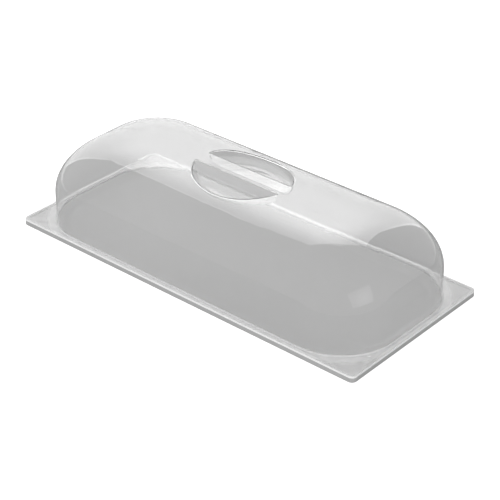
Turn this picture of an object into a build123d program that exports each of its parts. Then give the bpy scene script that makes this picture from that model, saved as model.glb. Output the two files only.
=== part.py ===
from build123d import *
import math
import os

# A clear domed cover standing in a shallow base tray. Millimetres, +Z up.
# X runs along the length, Y across it. The origin is the centre of the tray's underside.

# Whole object
length = 530.0  # tray rim, end to end
width = 241.5  # tray rim, side to side
height = 120.0  # underside of the tray to the dome's roof
rim_corner_radius = 7.0

# Base tray
tray_height = 5.8  # top of the flat rim that carries the cover's flange
tray_floor = 2.4  # the rim falls away inside the dome to a floor this far up
tray_slope_run = 14.0  # plan length of that slope
tray_edge_round = 0.5
tray_floor_round = 18.0

# Flange of the cover
flange_inset = 0.1  # from the tray's edge to the flange's edge
flange_thickness = 1.6
border_width = 4.4  # a low raised border runs round the flange's edge
border_thickness = 2.7
border_edge_round = 0.35
border_step_round = 0.7  # where the border steps down to the flange
border_overlap = 1.0  # how far the flange's plate stops short of the border's outer face
root_fillet = 2.2  # between the flange and the dome's wall, outside
inner_root_round = 1.2  # the same corner on the underside

# Dome shell, measured on its outer face
wall = 1.6
side_flange = 6.8  # from the tray's edge to the foot of the dome's wall, long sides
end_flange = 8.6  # the same at the short ends
plan_radius = 75.5  # plan corners at the foot of the wall
roof_plan_radius = 28.5  # plan corners where the shoulders meet the roof
shoulder_height = 72.5  # rise of the rounded shoulder, up to the roof
side_shoulder = 96.0  # how far the shoulder comes in over the long sides
end_shoulder = 95.5  # how far it comes in over the short ends
draft_per_mm = 0.012  # lean of the walls
shoulder_steps = 9

# Grip: an oval scooped out of the roof with a bar left across its middle, lengthways
grip_half_length = 66.0
grip_half_width = 52.5
grip_bar_width = 25.0
grip_depth = 16.2  # below the roof
grip_side_round = 12.0  # the scoop's sides curve into its floor
bar_lean = 1.5  # how far the bar's walls lean out over the grip's depth
bar_foot_round = 1.5
grip_lip_round = 2.0
grip_under_lip_round = 0.8

flange_under = tray_height
flange_top = flange_under + flange_thickness
flange_x = length - 2 * flange_inset
flange_y = width - 2 * flange_inset
flange_corner = rim_corner_radius - flange_inset
wall_top = height - shoulder_height
grip_floor = height - grip_depth
above_roof = height + 5  # where the grip's cutting solids end


def rounded_plate(x_size, y_size, radius, z_low, z_high):
    """A flat plate centred on the origin, from z_low to z_high."""
    outline = Pos(0, 0, z_low) * RectangleRounded(x_size, y_size, radius)
    return extrude(outline, amount=z_high - z_low)


def top_edges(plate):
    return plate.faces().sort_by(Axis.Z)[-1].edges()


def bottom_edges(plate):
    return plate.faces().sort_by(Axis.Z)[0].edges()


def dome_outline(z, turn, skin):
    """The dome's rounded-rectangle outline at height z, moved inwards by skin.

    turn is 0 on the straight wall and grows to 90 degrees at the roof.
    """
    inward = 1 - math.cos(math.radians(turn))
    lean = skin + draft_per_mm * z
    half_x = length / 2 - end_flange - lean - (end_shoulder - skin) * inward
    half_y = width / 2 - side_flange - lean - (side_shoulder - skin) * inward
    radius = (plan_radius - skin) * (1 - inward) + roof_plan_radius * inward
    radius = min(radius, half_y - 0.5)
    return Pos(0, 0, z) * RectangleRounded(2 * half_x, 2 * half_y, radius)


def dome_solid(z_low, skin):
    """Everything inside the dome's outer face, moved inwards by skin, above z_low."""
    straight = loft([dome_outline(z_low, 0, skin), dome_outline(wall_top, 0, skin)], ruled=True)
    rise = shoulder_height - skin
    turns = [90 * step / shoulder_steps for step in range(shoulder_steps + 1)]
    levels = [wall_top + rise * math.sin(math.radians(turn)) for turn in turns]
    shoulder = loft([dome_outline(z, turn, skin) for z, turn in zip(levels, turns)])
    return straight + shoulder


def grip_bowl(growth):
    """The whole oval scoop as a solid, made larger all round by growth."""
    reach = grip_half_width + growth
    turn = grip_side_round + growth
    floor = grip_floor - growth
    middle = Vector(reach - turn, 0, floor + turn)
    side = ThreePointArc(middle - Vector(0, 0, turn),
                         middle + Vector(turn, 0, 0).rotate(Axis.Y, 45),
                         middle + Vector(turn, 0, 0))
    rest = Polyline((reach, 0, floor + turn), (reach, 0, above_roof), (0, 0, above_roof),
                    (0, 0, floor), (reach - turn, 0, floor))
    round_bowl = revolve(make_face([*rest.edges(), *side.edges()]), Axis.Z)
    return scale(round_bowl, by=((grip_half_length + growth) / reach, 1, 1))


def finger_pocket(side, growth):
    """The part of the scoop on one side of the bar, as a solid; growth makes it larger all round."""
    def bar_wall(z):
        return side * (grip_bar_width / 2 - growth + bar_lean * (height - z) / grip_depth)

    z_low, z_high = grip_floor - growth - 1, above_roof + 1
    far_side = -side * width
    section = Plane.YZ * Polygon((bar_wall(z_low), z_low), (bar_wall(z_high), z_high),
                                 (far_side, z_high), (far_side, z_low), align=None)
    pocket = grip_bowl(growth) - extrude(section, amount=length, both=True)
    bar_face = pocket.faces().sort_by(lambda face: side * face.center().Y)[0]
    foot_and_corners = bar_face.edges().sort_by(Axis.Z)[:-1]
    return fillet(foot_and_corners, bar_foot_round + growth)


def foot_edges(cover, z):
    """The loop of edges where the dome's wall meets the flange's face at height z."""
    reach_x, reach_y = length / 2 - end_flange + 1, width / 2 - side_flange + 1
    level = cover.edges().filter_by_position(Axis.Z, z - 0.01, z + 0.01)
    return level.filter_by(lambda edge: abs(edge.center().X) < reach_x and abs(edge.center().Y) < reach_y)


def make_cover():
    """The clear cover: dome, grip, flange and its border in one moulding."""
    cover = rounded_plate(flange_x - 2 * border_overlap, flange_y - 2 * border_overlap,
                          flange_corner - border_overlap, flange_under, flange_top)
    cover += dome_solid(flange_under, 0)
    cover = fillet(foot_edges(cover, flange_top), root_fillet)
    for side in (-1, 1):
        pocket = finger_pocket(side, 0)
        cut = cover - pocket
        cover = fillet(new_edges(cover, pocket, combined=cut), grip_lip_round)

    hollow = dome_solid(flange_under - 1, wall)
    for side in (-1, 1):
        cup = finger_pocket(side, wall)
        cut = hollow - cup
        hollow = fillet(new_edges(hollow, cup, combined=cut), grip_under_lip_round)
    cover -= hollow
    cover = fillet(foot_edges(cover, flange_under), inner_root_round)

    border = rounded_plate(flange_x, flange_y, flange_corner, flange_under, flange_under + border_thickness)
    border = fillet(top_edges(border) + bottom_edges(border), border_edge_round)
    border -= rounded_plate(flange_x - 2 * border_width, flange_y - 2 * border_width,
                            flange_corner - border_width + 1, 0, height)
    step_edges = border.faces().sort_by(Axis.Z)[-1].inner_wires()[0].edges()
    return cover + fillet(step_edges, border_step_round)


def make_tray():
    """The shallow base tray: a flat rim, and a floor that dips inside the dome."""
    tray = rounded_plate(length, width, rim_corner_radius, 0, tray_height)
    tray = fillet(top_edges(tray) + bottom_edges(tray), tray_edge_round)
    dish_top = dome_outline(tray_height, 0, wall)
    dish_bottom = dome_outline(tray_floor, 0, wall + tray_slope_run)
    dish = loft([dish_bottom, dish_top], ruled=True)
    return tray - fillet(bottom_edges(dish), tray_floor_round)


def write_node(name, shape):
    shape.label = name
    export_step(shape, os.path.join("parts", name + ".step"))


os.makedirs("parts", exist_ok=True)
write_node("dome_cover", make_cover())
write_node("base_tray", make_tray())
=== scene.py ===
import math

import bpy
from mathutils import Matrix, Vector


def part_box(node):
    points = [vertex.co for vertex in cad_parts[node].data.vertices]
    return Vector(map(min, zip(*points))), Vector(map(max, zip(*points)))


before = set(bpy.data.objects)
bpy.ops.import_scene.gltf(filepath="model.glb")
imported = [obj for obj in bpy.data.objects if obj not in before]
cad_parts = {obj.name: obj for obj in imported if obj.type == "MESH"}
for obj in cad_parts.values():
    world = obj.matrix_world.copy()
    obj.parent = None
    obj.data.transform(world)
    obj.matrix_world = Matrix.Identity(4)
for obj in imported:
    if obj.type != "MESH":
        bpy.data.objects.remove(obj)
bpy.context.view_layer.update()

MM = 0.001

# The object is centred on the origin, so a part's highest corner gives half its length and width.
cover_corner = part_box("dome_cover")[1]
tray_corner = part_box("base_tray")[1]

# The cover's flange, with a low raised border along its edge
FLANGE_HALF = cover_corner.xy
FLANGE_CORNER = 6.9 * MM
BORDER_TOP = tray_corner.z + 2.7 * MM
BORDER_STEP = FLANGE_CORNER - 4.4 * MM  # where the border ends, as distance_outside() measures it

# The foot of the dome's wall, a little way in from the tray's edge
FOOT_HALF = tray_corner.xy - Vector((8.6, 6.8)) * MM
FOOT_CORNER = 75.5 * MM

# The grip: an oval scoop in the roof with a bar across its middle, lengthways
ROOF = cover_corner.z
GRIP_FLOOR = ROOF - 16.2 * MM
GRIP_LIP = ROOF - 2.5 * MM  # just below the pockets' rounded lips
GRIP_HALF_LENGTH = 66.0 * MM
GRIP_HALF_WIDTH = 52.5 * MM
BAR_HALF_WIDTH = 12.5 * MM
BAR_SHADE_HALF_LENGTH = 30.0 * MM  # the painted shade is full this far either side of the bar's middle

# Clear plastic: its colour, the painted shade that darkens it on the bar and beside the border, how milky it
# is, and the milkiness that paints light by the dome's foot and along the border
CLEAR = 0.985
BAR_PAINTED_SHADE = 0.11
STEP_PAINTED_SHADE = 0.2
POCKET_HAZE = 0.21
SPECKLE_HAZE = 0.2
BORDER_PAINTED_HIGHLIGHT = 0.11
FOOT_PAINTED_LIGHT = 0.2
SCUFFS_LEAST, SCUFFS_MOST = 0.04, 0.16

# The panel behind the object
BACK_AZIMUTH = 134  # in degrees from +X towards +Y
BACK_DISTANCE = 2.31  # to the panel's foot
BACK_LEAN = math.radians(14)  # over the object
BACK_WIDTH, BACK_HEIGHT = 3.3, 3.5
RIM_WIDTH = 0.1  # of the brighter strips along the panel's sides


def direction(azimuth, elevation):
    """Unit vector at an angle from +X towards +Y, and up; in degrees."""
    a, e = math.radians(azimuth), math.radians(elevation)
    return Vector((math.cos(a) * math.cos(e), math.sin(a) * math.cos(e), math.sin(e)))


# ---------------------------------------------------------------- node helpers

def add_node(tree, kind, **values):
    """A shader node, with its inputs set by name; an underscore stands for a space."""
    made = tree.nodes.new(kind)
    for name, value in values.items():
        made.inputs[name.replace("_", " ")].default_value = value
    return made


def grey(level):
    return (level, level, level, 1)


def object_place(tree):
    """The point being shaded, in the object's own coordinates."""
    return tree.nodes.new("ShaderNodeTexCoord").outputs["Object"]


def math_node(tree, operation, first, second):
    made = tree.nodes.new("ShaderNodeMath")
    made.operation = operation
    for socket, value in zip(made.inputs, (first, second)):
        if isinstance(value, (int, float)):
            socket.default_value = value
        else:
            tree.links.new(value, socket)
    return made.outputs[0]


def product(tree, first, *rest):
    for value in rest:
        first = math_node(tree, "MULTIPLY", first, value)
    return first


def largest(tree, first, *rest):
    for value in rest:
        first = math_node(tree, "MAXIMUM", first, value)
    return first


def vector_math(tree, operation, first, second=None):
    made = tree.nodes.new("ShaderNodeVectorMath")
    made.operation = operation
    tree.links.new(first, made.inputs[0])
    if second is not None:
        made.inputs[1].default_value = second
    return made


def split_xyz(tree, vector):
    made = tree.nodes.new("ShaderNodeSeparateXYZ")
    tree.links.new(vector, made.inputs[0])
    return made.outputs


def noise(tree, place, scale, detail):
    made = add_node(tree, "ShaderNodeTexNoise", Scale=scale, Detail=detail)
    tree.links.new(place, made.inputs["Vector"])
    return made.outputs["Fac"]


def spread(tree, value, low, high):
    """A 0 to 1 value stretched to run from low to high."""
    made = add_node(tree, "ShaderNodeMapRange", To_Min=low, To_Max=high)
    tree.links.new(value, made.inputs["Value"])
    return made.outputs["Result"]


def band(tree, value, low, high):
    """Rises smoothly from 0 at low to 1 at high."""
    made = add_node(tree, "ShaderNodeMapRange", From_Min=low, From_Max=high)
    made.interpolation_type = "SMOOTHSTEP"
    tree.links.new(value, made.inputs["Value"])
    return made.outputs["Result"]


def between(tree, value, low, high, soft):
    """1 from low to high, fading out over soft on both sides."""
    rises = band(tree, value, low - soft, low)
    falls = band(tree, value, high + soft, high)
    return product(tree, rises, falls)


def bump(tree, height, distance, strength, normal=None):
    made = add_node(tree, "ShaderNodeBump", Strength=strength, Distance=distance)
    tree.links.new(height, made.inputs["Height"])
    if normal is not None:
        tree.links.new(normal, made.inputs["Normal"])
    return made.outputs["Normal"]


def mix_shaders(tree, factor, first, second):
    made = tree.nodes.new("ShaderNodeMixShader")
    tree.links.new(factor, made.inputs[0])
    tree.links.new(first.outputs[0], made.inputs[1])
    tree.links.new(second.outputs[0], made.inputs[2])
    return made


def new_material(name):
    material = bpy.data.materials.new(name)
    material.use_nodes = True
    material.node_tree.nodes.clear()
    return material, material.node_tree


def finish_material(tree, shader):
    out = tree.nodes.new("ShaderNodeOutputMaterial")
    tree.links.new(shader.outputs[0], out.inputs["Surface"])


def set_material(obj, material):
    obj.data.materials.clear()
    obj.data.materials.append(material)


# ---------------------------------------------------------------- places on the cover

def distance_outside(tree, place, half, radius):
    """How far a point lies beyond the corner centres of a rounded rectangle; it is radius on the outline."""
    inner = (half.x - radius, half.y - radius, 1.0)
    beyond = vector_math(tree, "SUBTRACT", vector_math(tree, "ABSOLUTE", place).outputs[0], inner)
    outside = vector_math(tree, "MAXIMUM", beyond.outputs[0], (0, 0, 0))
    return vector_math(tree, "LENGTH", outside.outputs[0]).outputs["Value"]


def grip_zone(tree, place, y_low, y_high, z_low, z_high):
    """1 in a block of the grip, from end to end of it."""
    soft = 1.0 * MM
    x, y, z = split_xyz(tree, place)
    along = between(tree, x, soft - GRIP_HALF_LENGTH, GRIP_HALF_LENGTH - soft, soft)
    return product(tree, along, between(tree, y, y_low, y_high, soft), between(tree, z, z_low, z_high, soft))


def near_floor(tree, place):
    """1 on the floor of the near pocket."""
    y_low, y_high = 10 * MM - GRIP_HALF_WIDTH, -5 * MM - BAR_HALF_WIDTH
    return grip_zone(tree, place, y_low, y_high, GRIP_FLOOR - 3 * MM, GRIP_FLOOR + 1 * MM)


def near_bar_wall(tree, place):
    """1 on the bar's wall in the near pocket."""
    y_low, y_high = -2.5 * MM - BAR_HALF_WIDTH, 2 * MM - BAR_HALF_WIDTH
    return grip_zone(tree, place, y_low, y_high, GRIP_FLOOR + 1 * MM, GRIP_LIP)


def far_outer_wall(tree, place):
    """1 on the curved outer wall of the far pocket, up to its lip."""
    y_low, y_high = 4 * MM + BAR_HALF_WIDTH, GRIP_HALF_WIDTH
    block = grip_zone(tree, place, y_low, y_high, GRIP_FLOOR + 1.5 * MM, GRIP_LIP)
    to_oval = (1 / GRIP_HALF_LENGTH, 1 / GRIP_HALF_WIDTH, 0)  # puts the oval's outline at a distance of 1
    from_middle = vector_math(tree, "LENGTH", vector_math(tree, "MULTIPLY", place, to_oval).outputs[0])
    return product(tree, block, band(tree, from_middle.outputs["Value"], 0.995, 0.975))


def bar_middle(tree, place):
    """1 in the middle of the bar, fading towards its ends; where the bar's painted shade goes."""
    inset = 1 * MM
    bar = grip_zone(tree, place, inset - BAR_HALF_WIDTH, BAR_HALF_WIDTH - inset, GRIP_FLOOR, ROOF)
    from_middle = split_xyz(tree, vector_math(tree, "ABSOLUTE", place).outputs[0])["X"]
    return product(tree, bar, band(tree, from_middle, GRIP_HALF_LENGTH - 4 * MM, BAR_SHADE_HALF_LENGTH))


# ---------------------------------------------------------------- materials

def fine_grain(tree, place):
    """The pattern of the near pocket's floor, for its stipple and its haze."""
    return noise(tree, place, scale=420.0, detail=2.0)


def pocket_haze(tree, place):
    """Two walls of the pockets have less polish than the rest, and the near floor is speckled."""
    dull_walls = largest(tree, near_bar_wall(tree, place), far_outer_wall(tree, place))
    wall_haze = product(tree, dull_walls, POCKET_HAZE)
    speckle = spread(tree, fine_grain(tree, place), 0.0, SPECKLE_HAZE)
    return largest(tree, wall_haze, product(tree, near_floor(tree, place), speckle))


def flange_haze_and_painted_light(tree, place, from_corner):
    """Scuffed, slightly milky surface of the flange, with a milkier band by the foot of the dome that paints
    in light thrown there by the dome's wall, and a milky border that paints a light line along it.
    """
    scuffs = spread(tree, noise(tree, place, scale=90.0, detail=3.0), SCUFFS_LEAST, SCUFFS_MOST)
    # Painted light: a milkier band by the dome's foot brightens the flange there, standing in for light that
    # the dome's wall throws onto it.
    from_foot = distance_outside(tree, place, FOOT_HALF, FOOT_CORNER)
    near_foot = band(tree, from_foot, FOOT_CORNER + 16 * MM, FOOT_CORNER + 8 * MM)
    foot_painted_light = spread(tree, near_foot, 0.0, FOOT_PAINTED_LIGHT)
    # Painted highlight: milkiness on the border makes a light line along it.
    on_border = band(tree, from_corner, BORDER_STEP - 0.3 * MM, BORDER_STEP + 0.3 * MM)
    border_painted_highlight = spread(tree, on_border, 0.0, BORDER_PAINTED_HIGHLIGHT)
    return math_node(tree, "ADD", math_node(tree, "ADD", scuffs, foot_painted_light), border_painted_highlight)


def clear_plastic():
    """Clear polished moulding: slight waviness and haze, and a frosted, light-catching trimmed edge. Painted
    shade darkens the bar and a strip beside the border; painted light brightens the flange by the dome's
    foot and along the border.
    """
    material, tree = new_material("clear_plastic")
    link = tree.links.new
    place = object_place(tree)
    from_corner = distance_outside(tree, place, FLANGE_HALF, FLANGE_CORNER)
    on_flange = band(tree, split_xyz(tree, place)["Z"], BORDER_TOP + 1.5 * MM, BORDER_TOP)

    glass = add_node(tree, "ShaderNodeBsdfPrincipled", IOR=1.58, Transmission_Weight=1.0)
    link(spread(tree, noise(tree, place, scale=22.0, detail=4.0), 0.0, 0.03), glass.inputs["Roughness"])
    waves = bump(tree, noise(tree, place, scale=9.0, detail=1.0), distance=0.4 * MM, strength=0.25)
    stipple = product(tree, fine_grain(tree, place), near_floor(tree, place))
    link(bump(tree, stipple, distance=0.4 * MM, strength=0.35, normal=waves), glass.inputs["Normal"])

    # Painted shade: the plastic's colour is darkened in a strip just inside the border, as the shade beside
    # the border's step.
    beside_border = between(tree, from_corner, BORDER_STEP - 1.2 * MM, BORDER_STEP - 0.5 * MM, 0.2 * MM)
    step_painted_shade = product(tree, beside_border, on_flange, STEP_PAINTED_SHADE)
    # Painted shade: the plastic's colour is darkened in the middle of the bar.
    bar_painted_shade = product(tree, bar_middle(tree, place), BAR_PAINTED_SHADE)
    clear = math_node(tree, "SUBTRACT", CLEAR, largest(tree, bar_painted_shade, step_painted_shade))
    colour = tree.nodes.new("ShaderNodeCombineColor")
    for channel in colour.inputs:
        link(clear, channel)
    link(colour.outputs[0], glass.inputs["Base Color"])

    frost = add_node(tree, "ShaderNodeBsdfPrincipled", Base_Color=grey(0.88), Roughness=0.45)
    trimmed_edge = band(tree, from_corner, FLANGE_CORNER - 0.2 * MM, FLANGE_CORNER - 0.1 * MM)
    on_flange_haze_and_light = product(tree, on_flange, flange_haze_and_painted_light(tree, place, from_corner))
    # The frost is mixed in for the trimmed edge, the haze, and the painted light by the dome's foot and
    # along the border.
    milkiness_and_painted_light = largest(tree, trimmed_edge, on_flange_haze_and_light, pocket_haze(tree, place))
    plastic = mix_shaders(tree, milkiness_and_painted_light, glass, frost)

    # Light passes straight through, so that what lies under the cover is evenly lit.
    through = add_node(tree, "ShaderNodeBsdfTransparent", Color=grey(0.93))
    path = tree.nodes.new("ShaderNodeLightPath").outputs
    lets_light_by = largest(tree, path["Is Shadow Ray"], path["Is Diffuse Ray"])
    finish_material(tree, mix_shaders(tree, lets_light_by, plastic, through))
    return material


def grey_plastic():
    """Smooth pale grey moulding with a fine grain."""
    material, tree = new_material("grey_plastic")
    place = object_place(tree)
    shader = add_node(tree, "ShaderNodeBsdfPrincipled", Base_Color=grey(0.42))
    roughness = spread(tree, noise(tree, place, scale=60.0, detail=3.0), 0.42, 0.56)
    grain = bump(tree, noise(tree, place, scale=1600.0, detail=2.0), distance=0.04 * MM, strength=0.5)
    tree.links.new(roughness, shader.inputs["Roughness"])
    tree.links.new(grain, shader.inputs["Normal"])
    finish_material(tree, shader)
    return material


def floor_material():
    """White to the camera. Seen through or in the plastic it is a soft grey, paler far behind the object."""
    material, tree = new_material("floor")
    near_grey, far_grey = 0.40, 0.85
    turns_from, turns_to = 0.46, 0.66  # in metres behind the object's middle
    away = vector_math(tree, "DOT_PRODUCT", object_place(tree), direction(BACK_AZIMUTH, 0)).outputs["Value"]
    soft_grey = tree.nodes.new("ShaderNodeBsdfDiffuse")
    level = spread(tree, band(tree, away, turns_from, turns_to), near_grey, far_grey)
    tree.links.new(level, soft_grey.inputs["Color"])
    white = add_node(tree, "ShaderNodeBsdfDiffuse", Color=grey(0.5))
    glow = add_node(tree, "ShaderNodeEmission", Color=grey(1), Strength=0.85)
    lit = tree.nodes.new("ShaderNodeAddShader")
    tree.links.new(white.outputs[0], lit.inputs[0])
    tree.links.new(glow.outputs[0], lit.inputs[1])
    is_camera_ray = tree.nodes.new("ShaderNodeLightPath").outputs["Is Camera Ray"]
    finish_material(tree, mix_shaders(tree, is_camera_ray, soft_grey, lit))
    return material


# ---------------------------------------------------------------- studio

def floor(reach):
    mesh = bpy.data.meshes.new("floor")
    corners = [(-reach, -reach, 0), (reach, -reach, 0), (reach, reach, 0), (-reach, reach, 0)]
    mesh.from_pydata(corners, [], [(0, 1, 2, 3)])
    plane = bpy.data.objects.new("floor", mesh)
    bpy.context.scene.collection.objects.link(plane)
    set_material(plane, floor_material())


def sky(strength):
    world = bpy.data.worlds.new("studio")
    world.use_nodes = True
    background = world.node_tree.nodes["Background"]
    background.inputs["Color"].default_value = grey(1)
    background.inputs["Strength"].default_value = strength
    bpy.context.scene.world = world


def area_lamp(name, centre, target, width, height, radiance):
    """An evenly bright soft panel facing the target; its local Y is up."""
    lamp = bpy.data.lights.new(name, "AREA")
    lamp.shape = "RECTANGLE"
    lamp.size, lamp.size_y = width, height
    lamp.energy = math.pi * width * height * radiance
    panel = bpy.data.objects.new(name, lamp)
    panel.location = centre
    panel.rotation_mode = "QUATERNION"
    panel.rotation_quaternion = (target - centre).to_track_quat("-Z", "Y")
    bpy.context.scene.collection.objects.link(panel)
    return panel


def fill_light(name, centre, width, height, radiance):
    """A panel that lights the object's middle and leaves no reflection of its own."""
    panel = area_lamp(name, centre, Vector((0, 0, 0)), width, height, radiance)
    panel.visible_glossy = False
    panel.visible_transmission = False


def add_hot_spot(panel, low, peak, at, reach, rim=0.0):
    """Make the panel's radiance fall from peak, at a point on it, to low; rim adds to it along the sides.

    The point is measured from the middle of the panel's foot; it and reach are in metres.
    """
    lamp = panel.data
    width, height = lamp.size, lamp.size_y
    lamp.use_nodes = True
    tree = lamp.node_tree
    across = tree.nodes.new("ShaderNodeNewGeometry").outputs["Parametric"]
    from_spot = vector_math(tree, "SUBTRACT", across, (0.5 + at[0] / width, at[1] / height, 0))
    in_reaches = vector_math(tree, "MULTIPLY", from_spot.outputs[0], (width / reach, height / reach, 0))
    distance = vector_math(tree, "LENGTH", in_reaches.outputs[0]).outputs["Value"]
    falling = product(tree, math_node(tree, "POWER", distance, 2.0), -1.0)
    bell = spread(tree, math_node(tree, "EXPONENT", falling, 0.0), low, peak)
    off_middle = math_node(tree, "SUBTRACT", split_xyz(tree, across)["X"], 0.5)
    off_middle = math_node(tree, "ABSOLUTE", off_middle, 0.0)
    rim_starts = 0.5 - RIM_WIDTH / width
    glow = product(tree, band(tree, off_middle, rim_starts - 0.01, rim_starts), rim)
    tree.links.new(math_node(tree, "ADD", bell, glow), tree.nodes["Emission"].inputs["Strength"])


def back_panel():
    """A tall panel behind the object, leaning over it; its hot spot lights up the dome's upper half."""
    towards_back = direction(BACK_AZIMUTH, 0)
    up_the_panel = Vector((0, 0, math.cos(BACK_LEAN))) - towards_back * math.sin(BACK_LEAN)
    off_the_panel = -towards_back * math.cos(BACK_LEAN) - Vector((0, 0, math.sin(BACK_LEAN)))
    middle = towards_back * BACK_DISTANCE + up_the_panel * BACK_HEIGHT / 2
    panel = area_lamp("back_panel", middle, middle + off_the_panel, BACK_WIDTH, BACK_HEIGHT, radiance=1.0)
    add_hot_spot(panel, low=0.62, peak=2.55, at=(-0.12, 2.25), reach=1.2, rim=0.45)


def right_light():
    """A small soft light on the right, which shows as a pale patch on the dome's near shoulder."""
    panel = area_lamp("right_light", direction(-11, 33) * 2.5, Vector((0, 0, 0)), 1.5, 1.3, radiance=1.0)
    add_hot_spot(panel, low=0.35, peak=0.85, at=(0.1, 0.55), reach=0.5)


def camera(azimuth, elevation, roll, distance, target, lens, shift):
    """Azimuth 0 looks along +Y, and elevation is above the horizon; angles in degrees."""
    a, e, turn = (math.radians(angle) for angle in (azimuth, elevation, roll))
    back = Vector((math.sin(a) * math.cos(e), -math.cos(a) * math.cos(e), math.sin(e)))
    level_right = Vector((math.cos(a), math.sin(a), 0))
    level_up = back.cross(level_right)
    right = level_right * math.cos(turn) + level_up * math.sin(turn)
    up = level_up * math.cos(turn) - level_right * math.sin(turn)
    data = bpy.data.cameras.new("camera")
    data.sensor_width = 36
    data.lens = lens
    data.clip_end = 100
    data.shift_x, data.shift_y = shift
    view = bpy.data.objects.new("camera", data)
    turned = Matrix((right, up, back)).transposed().to_4x4()
    view.matrix_world = Matrix.Translation(target + back * distance) @ turned
    bpy.context.scene.collection.objects.link(view)
    bpy.context.scene.camera = view


set_material(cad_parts["dome_cover"], clear_plastic())
set_material(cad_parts["base_tray"], grey_plastic())

floor(reach=12.0)
sky(0.57)
back_panel()
right_light()
fill_light("left_fill", direction(-160, 40) * 1.5, width=1.2, height=1.2, radiance=1.6)
# Two low fills for the sides of the rim
fill_light("front_fill", direction(-66, 12) * 2.2, width=1.6, height=0.8, radiance=5.2)
fill_light("right_fill", direction(8, 10) * 2.2, width=1.0, height=0.6, radiance=2.4)

bpy.context.scene.view_settings.view_transform = "Standard"
camera(azimuth=40.40, elevation=31.24, roll=0.49, distance=2.02215,
       target=Vector((-3.92, 20.31, 0)) * MM, lens=116.926, shift=(-0.001, 0.001))
